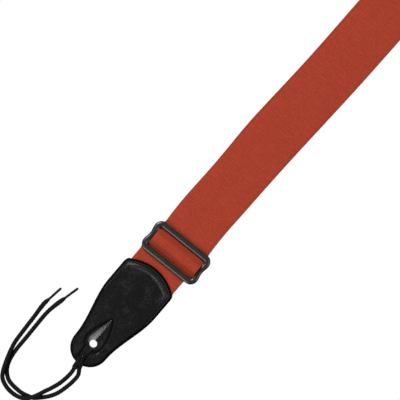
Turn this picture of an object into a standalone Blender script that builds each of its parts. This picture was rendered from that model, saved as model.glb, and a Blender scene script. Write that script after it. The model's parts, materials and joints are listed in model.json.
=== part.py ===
"""Guitar strap: woven webbing with a three-bar slider, two leather button tabs, an end ring and a tie lace.

The strap lies flat on z = 0 and runs along +X, with the lace tab at -X and the ring tab at +X.
Sizes are in millimetres along the strap from the lace tab's pin hole; put() turns them into world metres.
"""

import math

import bmesh
import bpy
from mathutils import Vector

MM = 0.001

# overall
OVERALL_LENGTH = 900.0      # tab tip to tab tip at the shortest setting
GAP = 0.3                   # clearance between pieces that touch

# webbing
WEB_WIDTH = 50.8
WEB_THICK = 1.2
HIDDEN_WEB = 45.0           # webbing sewn inside a tab, back from the tab's crown
FLAP_LENGTH = 24.0          # webbing end sewn back on itself behind the slider
THREAD = 0.6                # sewing thread's diameter

# leather tabs, drawn from their pin hole, +x towards the webbing
LEATHER_THICK = 1.8
TIP_RADIUS = 18.5
TIP_CENTRE = -4.0           # centre of the round tip
TAB_MARGIN = 2.9            # leather beside the webbing
FLARE_END = 55.0            # where the sides reach full width
SHOULDER = 80.0             # the two corners
CROWN = 10.5                # the end's arc beyond the corners
CORNER_RADIUS = 3.5
STEP_START, STEP_END = 31.0, 44.0   # the front layer climbs onto the webbing
CURL_START, CURL_END = -5.0, -12.0  # the lace tab's tip curls up over the lace
PIN_HOLE = 7.0
SLIT_LENGTH = 28.0
SLIT_MOUTH = 6.6            # opening beside the pin hole in the front layer
SLIT_WIDTH = 0.6            # cut in the back layer
TIE_HOLE = 5.6
TIE_HOLE_X = -15.5
SEAM_INSET = 2.6
SEAM_START = 47.0

# three-bar slider
SLIDER_LENGTH = 32.2        # along the strap
SLIDER_BAR = 6.0
SLIDER_THICK = 3.6
WEB_PLAY = 0.8              # window beside the webbing, each side
CENTRE_BAR_WIDTH = 4.0
CENTRE_BAR_THICK = 2.4
SLIDER_WAIST = 1.2          # how far the short sides dip in
SLIDER_CORNER = 5.0
WINDOW_CORNER = 1.5
BAR_EDGE = 1.1              # rounding of the bars' edges
TAB_TO_SLIDER = 7.4

# end ring
RING_BAR = 4.4
RING_OPENING = 13.6
RING_TO_TAB = 12.3
RING_CORNER = 3.5

# lace
LACE = 4.2
LACE_FLAT = 2.0             # thickness where it is pulled tight round the tip
HITCH_TURN = math.radians(15.0)     # how far it leans off the tab's axis
AGLET = 2.2
AGLET_LENGTH = 14.0

# how the strap lies: the lace tab and slider are turned a little from the long run
TAB_TURN = math.radians(1.6)
SLIDER_TURN = math.radians(3.3)
TAB_SIDE = -3.0             # pin hole's offset across the strap
SLIDER_SIDE = -3.4
WEB_SIDE = -1.3             # webbing's offset between the tab and the slider
LAY_OUT = 44.0              # length over which the long run comes back to y = 0

# places worked out from the sizes
FULL_HALF = WEB_WIDTH / 2 + TAB_MARGIN
TAB_TIP = TIP_CENTRE - TIP_RADIUS
TAB_APEX = SHOULDER + CROWN
SLIDER_X = TAB_APEX + TAB_TO_SLIDER + SLIDER_LENGTH / 2
SPLIT_X = SLIDER_X + SLIDER_LENGTH / 2 - SLIDER_BAR / 2     # the webbing is parted under the last bar
FAR_PIN_X = OVERALL_LENGTH + 2 * TAB_TIP
RING_RADIUS = RING_BAR / 2
FOLD_RADIUS = RING_RADIUS + GAP + WEB_THICK / 2
RING_Z = FOLD_RADIUS + WEB_THICK / 2
RING_X2 = FAR_PIN_X - TAB_APEX - RING_TO_TAB - RING_RADIUS
RING_X1 = RING_X2 - RING_OPENING - RING_BAR
LAYER = WEB_THICK + GAP
SLIDER_Z0 = 3 * LAYER
SLIDER_MID = SLIDER_Z0 + SLIDER_THICK / 2
WINDOW_HALF = SLIDER_LENGTH / 2 - SLIDER_BAR
SLIDER_INNER = WEB_WIDTH / 2 + WEB_PLAY
CENTRE_X = OVERALL_LENGTH / 2 + TAB_TIP
LACE_LIFT = LACE_FLAT + 2 * GAP


def smooth(t):
    """Smooth step from 0 to 1."""
    t = min(max(t, 0.0), 1.0)
    return t * t * (3 - 2 * t)


def mix(a, b, t):
    return a + (b - a) * t


def put(x, y, z):
    """World place, in metres, of a point given in millimetres from the lace tab's pin hole."""
    return Vector((x - CENTRE_X, y, z)) * MM


# ---------------------------------------------------------------- objects and materials

def material(name, colour, roughness, metallic=0.0):
    made = bpy.data.materials.new(name)
    made.use_nodes = True
    shader = made.node_tree.nodes["Principled BSDF"]
    shader.inputs["Base Color"].default_value = (*colour, 1.0)
    shader.inputs["Roughness"].default_value = roughness
    shader.inputs["Metallic"].default_value = metallic
    return made


def new_object(name, data, finish, parent=None):
    piece = bpy.data.objects.new(name, data)
    bpy.context.scene.collection.objects.link(piece)
    piece.data.materials.append(finish)
    piece.parent = parent
    return piece


def mesh_object(name, bm, finish, parent=None):
    """An object from a bmesh drawn in millimetres."""
    bmesh.ops.recalc_face_normals(bm, faces=bm.faces)
    bmesh.ops.scale(bm, vec=(MM, MM, MM), verts=bm.verts)
    mesh = bpy.data.meshes.new(name)
    bm.to_mesh(mesh)
    bm.free()
    return new_object(name, mesh, finish, parent)


def holder(name, place, turn=0.0):
    """An empty that carries the pieces of one sub-assembly."""
    empty = bpy.data.objects.new(name, None)
    bpy.context.scene.collection.objects.link(empty)
    empty.location = place
    empty.rotation_euler = (0, 0, turn)
    return empty


def cut(piece, cutter, operation="DIFFERENCE"):
    cutter.hide_render = True
    cutter.display_type = "WIRE"
    modifier = piece.modifiers.new(cutter.name, "BOOLEAN")
    modifier.operation = operation
    modifier.object = cutter


def prism(name, outline, z0, z1, finish, parent=None):
    """A flat outline raised from z0 to z1."""
    bm = bmesh.new()
    face = bm.faces.new([bm.verts.new((x, y, z0)) for x, y in outline])
    raised = bmesh.ops.extrude_face_region(bm, geom=[face])["geom"]
    tops = [v for v in raised if isinstance(v, bmesh.types.BMVert)]
    bmesh.ops.translate(bm, vec=(0, 0, z1 - z0), verts=tops)
    return mesh_object(name, bm, finish, parent)


def arc(centre, radius, start, end, steps):
    """Points of a circular arc, angles in degrees, both ends included."""
    angles = [math.radians(mix(start, end, i / steps)) for i in range(steps + 1)]
    return [(centre[0] + radius * math.cos(a), centre[1] + radius * math.sin(a)) for a in angles]


def tube(name, points, diameter, finish, closed=False, resolution=2, parent=None):
    """A round tube along points given in metres."""
    curve = bpy.data.curves.new(name, "CURVE")
    curve.dimensions = "3D"
    curve.bevel_depth = diameter * MM / 2
    curve.bevel_resolution = resolution
    curve.render_resolution_u = 0
    curve.use_fill_caps = not closed
    spline = curve.splines.new("POLY")
    spline.points.add(len(points) - 1)
    for spot, place in zip(spline.points, points):
        spot.co = (*place, 1.0)
    spline.use_cyclic_u = closed
    return new_object(name, curve, finish, parent)


def through(points, steps):
    """Points on a smooth curve through the given ones, steps to each span."""
    ends = [2 * Vector(points[0]) - Vector(points[1])], [2 * Vector(points[-1]) - Vector(points[-2])]
    knots = ends[0] + [Vector(p) for p in points] + ends[1]
    found = []
    for a, b, c, d in zip(knots, knots[1:], knots[2:], knots[3:]):
        for i in range(steps):
            t = i / steps
            found.append(0.5 * (2 * b + (c - a) * t + (2 * a - 5 * b + 4 * c - d) * t * t
                                + (3 * b - a - 3 * c + d) * t ** 3))
    return found + [knots[-2]]


# ---------------------------------------------------------------- leather tabs

def half_width(x):
    """Half the tab's width, from the round tip's side to full width."""
    return mix(TIP_RADIUS, FULL_HALF, smooth((x - TIP_CENTRE) / (FLARE_END - TIP_CENTRE)))


def tab_outline(inset=0.0, start=None):
    """Closed outline of a tab: round tip, flared sides, two corners and a crowned end.

    With start, it begins and ends there instead of running round the tip, as a seam does."""
    if start is None:
        upper = arc((TIP_CENTRE, 0), TIP_RADIUS - inset, 180, 90, 9)
        first = TIP_CENTRE
    else:
        upper = []
        first = start
    upper += [(x, half_width(x) - inset) for x in
              [mix(first, FLARE_END, i / 7) for i in range(1 if start is None else 0, 8)]]
    radius = (FULL_HALF ** 2 + CROWN ** 2) / (2 * CROWN)
    centre = TAB_APEX - radius
    sweep = math.degrees(math.asin((FULL_HALF - CORNER_RADIUS) / (radius - inset)))
    crown = arc((centre, 0), radius - inset, sweep, 0, 6)
    corner = (SHOULDER - inset * 0.4, FULL_HALF - inset)
    side = (corner[0] - CORNER_RADIUS, corner[1])
    bend = [tuple(mix(mix(side[k], corner[k], t), mix(corner[k], crown[0][k], t), t) for k in (0, 1))
            for t in (0, 0.25, 0.5, 0.75)]
    upper += bend + crown
    lower = [(x, -y) for x, y in reversed(upper[:-1]) if y > 1e-6]
    return upper + lower


def leather_layer(name, knots, finish, parent):
    """One leather layer: the tab's outline, its underside at the heights that knots give along x."""
    bm = bmesh.new()
    bm.faces.new([bm.verts.new((x, y, 0)) for x, y in tab_outline()])
    for x, _ in knots:
        bmesh.ops.bisect_plane(bm, geom=bm.verts[:] + bm.edges[:] + bm.faces[:],
                               plane_co=(x, 0, 0), plane_no=(1, 0, 0))
    raised = bmesh.ops.extrude_face_region(bm, geom=bm.faces[:])["geom"]
    tops = [v for v in raised if isinstance(v, bmesh.types.BMVert)]
    bmesh.ops.translate(bm, vec=(0, 0, LEATHER_THICK), verts=tops)
    for v in bm.verts:
        v.co.z += height_at(knots, v.co.x)
    return mesh_object(name, bm, finish, parent)


def height_at(knots, x):
    """Height read from straight lines between (x, z) knots."""
    if x <= knots[0][0]:
        return knots[0][1]
    for (x0, z0), (x1, z1) in zip(knots, knots[1:]):
        if x <= x1:
            return mix(z0, z1, (x - x0) / (x1 - x0))
    return knots[-1][1]


def slit_outline(mouth):
    """The slit that lets the pin's head through: widest beside the hole, closing to a point."""
    hole = PIN_HOLE / 2
    if mouth <= SLIT_WIDTH:
        return [(0, 0), (SLIT_LENGTH, 0.8), (SLIT_LENGTH, 0.8 + mouth), (0, mouth)]
    return [(0, -0.2), (SLIT_LENGTH, 0.9), (SLIT_LENGTH, 1.4), (mix(0, SLIT_LENGTH, 0.45), mouth * 0.72),
            (hole, mouth), (-0.3 * hole, mouth * 0.95), (-0.8 * hole, 0.6 * hole)]


def make_tab(label, place, turn, layers, lace):
    """A tab sewn over webbing: back and front leather, and their seam. Returns its holder."""
    parent = holder(label + "_place", place, turn)
    lift = LACE_LIFT if lace else 0.0
    back = [(CURL_END, lift), (CURL_START, 0.0)]
    low = LEATHER_THICK + GAP
    front = [(CURL_END, low + lift), (CURL_START, low), (STEP_START, low),
             (STEP_END, low + layers * LAYER)]
    for side, knots, mouth in (("back", back, SLIT_WIDTH), ("front", front, SLIT_MOUTH)):
        leather = leather_layer(f"{label}_{side}", knots, LEATHER, parent)
        depth = (-5.0, 15.0)
        round_hole = arc((0, 0), PIN_HOLE / 2, 0, 360 - 22.5, 15)
        cut(leather, prism(f"{label}_{side}_pin_cut", round_hole, *depth, LEATHER, parent))
        cut(leather, prism(f"{label}_{side}_slit_cut", slit_outline(mouth), *depth, LEATHER, parent))
        if lace:
            tie = arc((TIE_HOLE_X, 0), TIE_HOLE / 2, 0, 330, 11)
            cut(leather, prism(f"{label}_{side}_tie_cut", tie, *depth, LEATHER, parent))
    top = low + layers * LAYER + LEATHER_THICK + GAP + THREAD / 2
    seam = [Vector((x, y, top)) * MM for x, y in tab_outline(SEAM_INSET, SEAM_START)]
    tube(label + "_seam", seam, THREAD, THREAD_BLACK, resolution=1, parent=parent)
    return parent


# ---------------------------------------------------------------- webbing

def lay(x):
    """How the webbing lies at x: its centre's y and the turn of its cross lines."""
    tab_turned = WEB_SIDE + (x - TAB_APEX) * math.tan(TAB_TURN)
    in_slider = SLIDER_SIDE + (x - SLIDER_X) * math.tan(SLIDER_TURN)
    under_bar = SLIDER_X - SLIDER_LENGTH / 2
    leaving = SLIDER_X + WINDOW_HALF
    if x > leaving:
        left = max(0.0, 1 - (x - leaving) / LAY_OUT) ** 2
        return (SLIDER_SIDE + WINDOW_HALF * math.tan(SLIDER_TURN)) * left, SLIDER_TURN * left
    share = smooth((x - under_bar) / SLIDER_BAR)
    turn = mix(TAB_TURN, SLIDER_TURN, smooth((x - TAB_APEX + 3) / TAB_TO_SLIDER))
    return mix(tab_turned, in_slider, share), turn


def webbing(name, path, finish, laid=lay):
    """A band of webbing whose centre line follows path, (x, z) points in millimetres."""
    bm = bmesh.new()
    edges = []
    for x, z in path:
        middle, turn = laid(x)
        pair = [bm.verts.new((x - side * math.sin(turn) - CENTRE_X, middle + side * math.cos(turn), z))
                for side in (-WEB_WIDTH / 2, WEB_WIDTH / 2)]
        edges.append(pair)
    for (a, b), (c, d) in zip(edges, edges[1:]):
        bm.faces.new((a, b, d, c))
    band = mesh_object(name, bm, finish)
    solid = band.modifiers.new("thickness", "SOLIDIFY")
    solid.thickness = WEB_THICK * MM
    solid.offset = 0.0
    solid.use_even_offset = True
    return band


def ease(a, b, steps):
    """(x, z) points of a smooth step from a to b, without its last point."""
    return [(mix(a[0], b[0], i / steps), mix(a[1], b[1], smooth(i / steps))) for i in range(steps)]


def over_bar(drop):
    """The webbing's path over the centre bar, with drop below it for a layer beneath."""
    low = SLIDER_Z0 - GAP - WEB_THICK / 2
    high = SLIDER_MID + CENTRE_BAR_THICK / 2 + 2 * GAP + 1.5 * WEB_THICK
    flat = CENTRE_BAR_WIDTH / 2 + 0.5
    foot = WINDOW_HALF + 0.4
    points = [(foot, low),
              *[(mix(foot, flat, i / 10), mix(low, high, smooth(i / 10))) for i in range(1, 10)],
              (flat, high)]
    right = []
    for before, here, after in zip(points[:1] + points, points, points[1:] + points[-1:]):
        along = Vector((after[0] - before[0], after[1] - before[1])).normalized()
        right.append((here[0] - drop * along.y, here[1] + drop * along.x))
    return right                     # from the foot up to the flat top, x from the slider's centre


def single_run_path():
    """From inside the lace tab, under the first bar, over the centre bar and under the last."""
    inside = LEATHER_THICK + GAP + WEB_THICK / 2
    climb = over_bar(0.0)
    low = climb[0][1]
    start = TAB_APEX - HIDDEN_WEB
    path = [(start, inside), (TAB_APEX - 6, inside)]
    path += ease((TAB_APEX, inside), (SLIDER_X - SLIDER_LENGTH / 2 + 1, low), 4)
    path += [(SLIDER_X - SLIDER_LENGTH / 2 + 1, low)]
    path += [(SLIDER_X - x, z) for x, z in climb]
    path += [(SLIDER_X + x, z) for x, z in reversed(climb)]
    return path + [(SPLIT_X - GAP / 2, low)]


def fold(centre_x, outwards, steps=10):
    """Half a turn round a ring bar, from its top to its bottom, bulging to the outwards side."""
    turned = arc((0, 0), FOLD_RADIUS, 90, -90, steps)
    return [(centre_x + outwards * x, RING_Z + z) for x, z in turned]


def loop_run_path():
    """From the slider's last bar to the ring, round its first bar, back, and round the centre bar."""
    low_top = SLIDER_Z0 - GAP - WEB_THICK / 2
    floor = WEB_THICK / 2
    above = floor + LAYER
    humped = above + LAYER + THREAD + GAP
    flap_end = SLIDER_X + WINDOW_HALF + FLAP_LENGTH
    exit_bar = SLIDER_X + SLIDER_LENGTH / 2
    path = [(SPLIT_X + GAP / 2, low_top)]
    path += ease((exit_bar - 1.5, low_top), (exit_bar + 3, humped), 3)
    path += ease((flap_end + 4, humped), (flap_end + 26, above), 5)
    path += [(flap_end + 26, above), (RING_X1 - 60, above)]
    path += ease((RING_X1 - 34, above), (RING_X1, RING_Z + FOLD_RADIUS), 7)
    path += fold(RING_X1, 1)
    path += [(flap_end + 30, floor)]
    foot = WINDOW_HALF + 0.4
    turn_x = -(CENTRE_BAR_WIDTH - CENTRE_BAR_THICK) / 2
    turn_radius = CENTRE_BAR_THICK / 2 + GAP + WEB_THICK / 2
    under = (SLIDER_X + CENTRE_BAR_WIDTH / 2, SLIDER_MID - turn_radius)
    path += ease((SLIDER_X + foot, floor), under, 6) + [under]
    wrap = arc((0, 0), turn_radius, -90, -270, 10)
    path += [(SLIDER_X + turn_x + x, SLIDER_MID + z) for x, z in wrap]
    path += [(SLIDER_X + x, z) for x, z in reversed(over_bar(LAYER))]
    return path + [(flap_end, above)]


def ring_webbing_path():
    """From inside the far tab, round the ring's second bar and back into the tab above itself."""
    low = LEATHER_THICK + GAP + WEB_THICK / 2
    apex = FAR_PIN_X - TAB_APEX
    upper = ease((RING_X2, RING_Z + FOLD_RADIUS), (apex - 1, low + LAYER), 5)
    lower = ease((RING_X2, RING_Z - FOLD_RADIUS), (apex - 1, low), 5)
    inside = apex + HIDDEN_WEB
    path = [(inside, low + LAYER), (apex - 1, low + LAYER)] + upper[:0:-1]
    path += fold(RING_X2, -1)
    return path + lower[1:] + [(apex - 1, low), (inside, low)]


# ---------------------------------------------------------------- slider and ring

def slider_outline():
    """The slider's outer shape: straight long bars, round corners and gently waisted short sides."""
    half_x, half_y, corner = SLIDER_LENGTH / 2, SLIDER_INNER + SLIDER_BAR - SLIDER_WAIST, SLIDER_CORNER
    right = arc((half_x - corner, half_y - corner), corner, 0, 90, 6)
    waist = [(x, half_y - SLIDER_WAIST * (0.5 + 0.5 * math.cos(math.pi * x / (half_x - corner))))
             for x in [mix(half_x - corner, 0, i / 4) for i in range(1, 5)]]
    upper = right + waist + [(-x, y) for x, y in reversed(right + waist[:-1])]
    return upper + [(-x, -y) for x, y in upper]


def make_slider():
    parent = holder("slider_place", put(SLIDER_X, SLIDER_SIDE, 0), SLIDER_TURN)
    frame = prism("slider", slider_outline(), SLIDER_Z0, SLIDER_Z0 + SLIDER_THICK, SLIDER_BLACK, parent)
    window = []
    for quarter, (sx, sy) in enumerate(((1, 1), (-1, 1), (-1, -1), (1, -1))):
        middle = (sx * (WINDOW_HALF - WINDOW_CORNER), sy * (SLIDER_INNER - WINDOW_CORNER))
        window += arc(middle, WINDOW_CORNER, 90 * quarter, 90 * quarter + 90, 3)
    cut(frame, prism("slider_window_cut", window, SLIDER_Z0 - 5, SLIDER_Z0 + 15, SLIDER_BLACK, parent))
    soften = frame.modifiers.new("rounded bars", "BEVEL")
    soften.width = BAR_EDGE * MM
    soften.segments = 2
    soften.limit_method = "ANGLE"
    soften.angle_limit = math.radians(50)
    bar_radius = CENTRE_BAR_THICK / 2
    reach = (CENTRE_BAR_WIDTH - CENTRE_BAR_THICK) / 2
    section = arc((reach, SLIDER_MID), bar_radius, -90, 90, 6)
    section += arc((-reach, SLIDER_MID), bar_radius, 90, 270, 6)
    bm = bmesh.new()
    end = SLIDER_INNER + SLIDER_BAR / 2
    face = bm.faces.new([bm.verts.new((x, -end, z)) for x, z in section])
    raised = bmesh.ops.extrude_face_region(bm, geom=[face])["geom"]
    far = [v for v in raised if isinstance(v, bmesh.types.BMVert)]
    bmesh.ops.translate(bm, vec=(0, 2 * end, 0), verts=far)
    cut(frame, mesh_object("slider_centre_bar", bm, SLIDER_BLACK, parent), "UNION")


def make_ring():
    """A round-bar rectangle: each long bar carries a fold of webbing."""
    parent = holder("end_ring_place", put(RING_X1, 0, RING_Z))
    corner = RING_CORNER
    half_y = SLIDER_INNER + RING_RADIUS
    length = RING_X2 - RING_X1
    path = []
    corners = ((length - corner, 1), (corner, 1), (corner, -1), (length - corner, -1))
    for quarter, (x, sy) in enumerate(corners):
        path += arc((x, sy * (half_y - corner)), corner, 90 * quarter, 90 * quarter + 90, 4)
    ring = [Vector((x, y, 0)) * MM for x, y in path]
    tube("end_ring", ring, RING_BAR, SLIDER_BLACK, closed=True, resolution=3, parent=parent)


# ---------------------------------------------------------------- tie lace

# routes of the two free ends, from the tab's tip to the aglets; hand-laid, in millimetres
LACE_A = [(-27.6, -4.6, 3.0), (-31.2, -5.6, 2.3), (-37.4, -5.8, 2.2), (-47.9, -4.6, 2.2),
          (-58.0, -1.6, 2.2), (-63.6, 0.8, 2.8), (-68.0, 2.6, 5.6), (-72.0, 4.4, 7.0), (-76.5, 6.8, 7.0),
          (-80.8, 10.4, 5.8), (-84.1, 16.2, 2.8), (-85.2, 23.0, 2.2), (-84.4, 30.5, 2.5),
          (-80.8, 37.8, 4.6), (-75.2, 41.8, 6.6), (-68.6, 44.9, 7.0), (-62.0, 47.5, 6.8),
          (-55.0, 50.0, 5.0), (-47.0, 52.0, 2.6), (-33.9, 53.3, 2.2), (-19.8, 54.4, 2.2),
          (-5.2, 55.7, 2.2), (3.0, 55.0, 2.2)]
LACE_B = [(-26.6, -9.2, 3.0), (-30.6, -11.9, 2.3), (-37.7, -12.4, 2.2), (-45.8, -11.6, 2.2),
          (-56.2, -9.4, 2.2), (-64.0, -5.6, 2.2), (-70.6, -0.4, 2.2), (-75.4, 4.4, 2.2),
          (-77.6, 9.6, 2.2), (-79.4, 16.4, 2.2), (-79.6, 25.8, 2.2), (-78.2, 33.2, 2.2),
          (-73.3, 39.6, 2.2), (-66.5, 43.6, 2.2), (-58.6, 45.6, 2.2), (-49.3, 46.6, 2.2),
          (-37.8, 47.0, 2.2), (-22.2, 47.8, 2.2), (-9.1, 48.2, 2.2), (0.4, 47.2, 2.2), (13.6, 44.6, 2.2)]


def make_lace(label, route):
    """One free end of the lace, and the aglet that closes it."""
    points = [put(*p) for p in through(route, 3)]
    tube("tie_lace_" + label, points, LACE, LACE_BLACK)
    along = (points[-1] - points[-2]).normalized()
    start = points[-1] + along * GAP * MM
    start.z = (AGLET / 2 + 0.1) * MM
    along.z = 0
    tube("aglet_" + label, [start, start + along * AGLET_LENGTH * MM], AGLET, AGLET_BLACK, resolution=3)


def make_hitch(parent):
    """The doubled middle of the lace, pulled tight through the tie hole and round the tab's tip."""
    turned = holder("tie_lace_hitch_place", Vector((TIE_HOLE_X, 0, 0)) * MM, HITCH_TURN)
    turned.parent = parent
    half = LACE_FLAT / 2
    below = GAP + half
    above = LACE_LIFT + 2 * (LEATHER_THICK + GAP) + half
    tip = TAB_TIP - TIE_HOLE_X - 2 * GAP - half
    route = [(0, mix(below, above, 0.5)), (-0.1, above - 1.6), (-1.6, above), (0.6 * tip, above),
             (tip + 0.6, above - 0.4), (tip, above - 1.8), (tip, below + 1.8), (tip + 0.6, below + 0.3),
             (0.6 * tip, below), (-1.6, below), (-0.1, below + 1.6)]
    bm = bmesh.new()
    rings = []
    for before, here, after in zip(route[-1:] + route[:-1], route, route[1:] + route[:1]):
        along = Vector((after[0] - before[0], 0, after[1] - before[1])).normalized()
        out = along.cross(Vector((0, 1, 0)))
        middle = Vector((here[0], 0, here[1]))
        angles = [math.tau * i / 10 for i in range(10)]
        rings.append([bm.verts.new(middle + out * half * math.cos(a) + Vector((0, LACE / 2 * math.sin(a), 0)))
                      for a in angles])
    for one, two in zip(rings, rings[1:] + rings[:1]):
        for i in range(10):
            j = (i + 1) % 10
            bm.faces.new((one[i], one[j], two[j], two[i]))
    mesh_object("tie_lace_hitch", bm, LACE_BLACK, turned)


# ---------------------------------------------------------------- the whole strap

for old in list(bpy.data.objects):
    bpy.data.objects.remove(old, do_unlink=True)

LEATHER = material("black_leather", (0.022, 0.021, 0.021), 0.42)
WEBBING_RED = material("red_webbing", (0.42, 0.055, 0.03), 0.85)
SLIDER_BLACK = material("black_gloss_plastic", (0.03, 0.03, 0.033), 0.22)
LACE_BLACK = material("black_braided_lace", (0.02, 0.02, 0.022), 0.8)
THREAD_BLACK = material("black_thread", (0.025, 0.025, 0.027), 0.7)
AGLET_BLACK = material("black_aglet", (0.03, 0.03, 0.032), 0.3)

lace_tab = make_tab("lace_tab", put(0, TAB_SIDE, 0), TAB_TURN, 1, True)
make_hitch(lace_tab)
make_tab("ring_tab", put(FAR_PIN_X, 0, 0), math.pi, 2, False)

webbing("webbing_tab_run", single_run_path(), WEBBING_RED)
webbing("webbing_long_loop", loop_run_path(), WEBBING_RED)
webbing("ring_webbing", ring_webbing_path(), WEBBING_RED, laid=lambda x: (0.0, 0.0))

seam_z = WEB_THICK / 2 + LAYER + WEB_THICK / 2 + GAP + THREAD / 2
seam_near = SLIDER_LENGTH / 2 + 4.5
seam_far = WINDOW_HALF + FLAP_LENGTH - 3
seam_box = [(seam_near, -1), (seam_far, -1), (seam_far, 1), (seam_near, 1)]
flap_seam = []
for along, side in seam_box:
    middle, turn = lay(SLIDER_X + along)
    flap_seam.append(put(SLIDER_X + along, middle + side * (WEB_WIDTH / 2 - 4), seam_z))
tube("flap_seam", flap_seam, THREAD, THREAD_BLACK, closed=True, resolution=1)

make_slider()
make_ring()
make_lace("a", LACE_A)
make_lace("b", LACE_B)
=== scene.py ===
"""Guitar strap: webbing, leather tabs, slider, ring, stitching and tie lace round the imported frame.

The strap lies on z = 0 along +X. Sizes are in metres; u and v run along and across a leather tab from its
pin hole, x and y are the frame's own.
"""

import json
import math

import bmesh
import bpy
import numpy as np
from mathutils import Matrix, Vector, noise


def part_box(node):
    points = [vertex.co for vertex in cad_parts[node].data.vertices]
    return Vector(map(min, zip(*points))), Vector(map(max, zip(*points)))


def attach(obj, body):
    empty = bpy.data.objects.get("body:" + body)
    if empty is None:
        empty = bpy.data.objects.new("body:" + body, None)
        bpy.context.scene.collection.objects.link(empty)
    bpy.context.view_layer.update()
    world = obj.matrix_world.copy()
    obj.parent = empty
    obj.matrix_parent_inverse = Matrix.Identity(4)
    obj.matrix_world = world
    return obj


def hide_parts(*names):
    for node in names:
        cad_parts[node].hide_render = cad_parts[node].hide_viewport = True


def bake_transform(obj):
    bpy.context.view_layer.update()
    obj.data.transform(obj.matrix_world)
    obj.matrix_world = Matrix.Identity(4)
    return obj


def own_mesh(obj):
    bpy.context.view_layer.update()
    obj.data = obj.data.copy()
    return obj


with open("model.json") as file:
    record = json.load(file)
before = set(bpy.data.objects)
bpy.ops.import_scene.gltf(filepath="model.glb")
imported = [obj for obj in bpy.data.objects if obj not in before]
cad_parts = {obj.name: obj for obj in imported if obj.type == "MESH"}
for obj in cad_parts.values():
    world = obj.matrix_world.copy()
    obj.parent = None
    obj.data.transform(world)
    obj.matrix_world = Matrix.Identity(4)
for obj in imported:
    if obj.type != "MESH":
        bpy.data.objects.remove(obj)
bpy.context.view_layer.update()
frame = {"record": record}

RECORD = frame["record"]
MM = 0.001

# ---------------- places, read from the frame

HOLES = {o["name"]: (Vector(o["box_m"][0]) + Vector(o["box_m"][1])) / 2
         for o in RECORD["physics"]["openings"]}
JOINTS = {j["name"]: j for j in RECORD["behaviour"]["joints"]}
LACE_PIN = HOLES["lace_tab_pin_hole"].to_2d()
RING_PIN = HOLES["ring_tab_pin_hole"].to_2d()
SLIDER_LOW, SLIDER_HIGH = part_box("slider")
SLIDER_AT = (SLIDER_LOW + SLIDER_HIGH) / 2
RING_X1, _, RING_Z = JOINTS["ring_swing"]["pos_m"]
RING_X2 = JOINTS["ring_tab_swing"]["pos_m"][0]

# ---------------- sizes

GAP = 0.3 * MM
WEB_WIDTH = 50.8 * MM
WEB_THICK = 1.2 * MM
LAYER = WEB_THICK + GAP
RIB_PITCH = 1.15 * MM
ROW = 0.6 * MM                  # spacing of the webbing's cross lines

LEATHER_THICK = 1.8 * MM
LOW = LEATHER_THICK + GAP       # underside of a tab's front layer
TIP_RADIUS = 18.5 * MM
TIP_CENTRE = -4 * MM
FULL_HALF = 28.3 * MM
FLARE_END = 55 * MM
SHOULDER = 80 * MM
CROWN = 10.5 * MM
TAB_APEX = SHOULDER + CROWN
CORNER = 3.5 * MM
CROWN_RADIUS = (FULL_HALF ** 2 + CROWN ** 2) / (2 * CROWN)
PIN_RADIUS = 3.6 * MM
TIE_U = -15.5 * MM
SEAM_INSET = 2.6 * MM
SEAM_START = 47 * MM
STITCH_PITCH = 2.1 * MM

TAB_TURN = math.radians(1.6)
SLIDER_TURN = math.radians(3.3)
WEB_SIDE = -1.3 * MM

SLIDER_X, SLIDER_SIDE = SLIDER_AT.x, SLIDER_AT.y
SLIDER_Z0 = SLIDER_LOW.z
SLIDER_THICK = SLIDER_HIGH.z - SLIDER_LOW.z
SLIDER_MID = SLIDER_AT.z
SLIDER_LENGTH = 32.2 * MM
SLIDER_BAR = 6 * MM
SLIDER_SHORT_BAR = 5.5 * MM
SLIDER_WAIST = 1.2 * MM         # how far each short side dips in at its middle
SLIDER_INNER = WEB_WIDTH / 2 + 0.8 * MM
WINDOW_HALF = SLIDER_LENGTH / 2 - SLIDER_BAR
CENTRE_BAR = (4 * MM, 2.4 * MM)
FLAP_LENGTH = 24 * MM

RING_BAR = 4.4 * MM
FOLD_RADIUS = RING_BAR / 2 + GAP + WEB_THICK / 2

LACE = 4.2 * MM
LACE_FLAT = 2 * MM
LACE_LIFT = LACE_FLAT + 2 * GAP
LACE_SHIFT = Vector((1.2 * MM, 0, 0))       # how far the free ends lie to one side of their CAD tubes
COLLAR_START = 1.8 * MM                     # how deep in the hitch's collar they begin
COLLAR = (3.75 * MM, 1.95 * MM)             # the collar's half width and half height
HITCH_TURN = math.radians(15)
AGLET = 2.2 * MM
AGLET_SHAPE = [(-1.6, 0.8), (0.0, 0.9), (0.25, 1.0), (1.6, 1.0), (2.0, 0.9), (2.4, 1.0), (11.4, 1.0),
               (12.6, 0.97), (13.4, 0.82), (13.85, 0.5), (14.0, 0.2)]     # mm along it, share of its width


def in_metres(points):
    """Points given in millimetres, as vectors."""
    return [Vector([k * MM for k in p]) for p in points]


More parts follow.
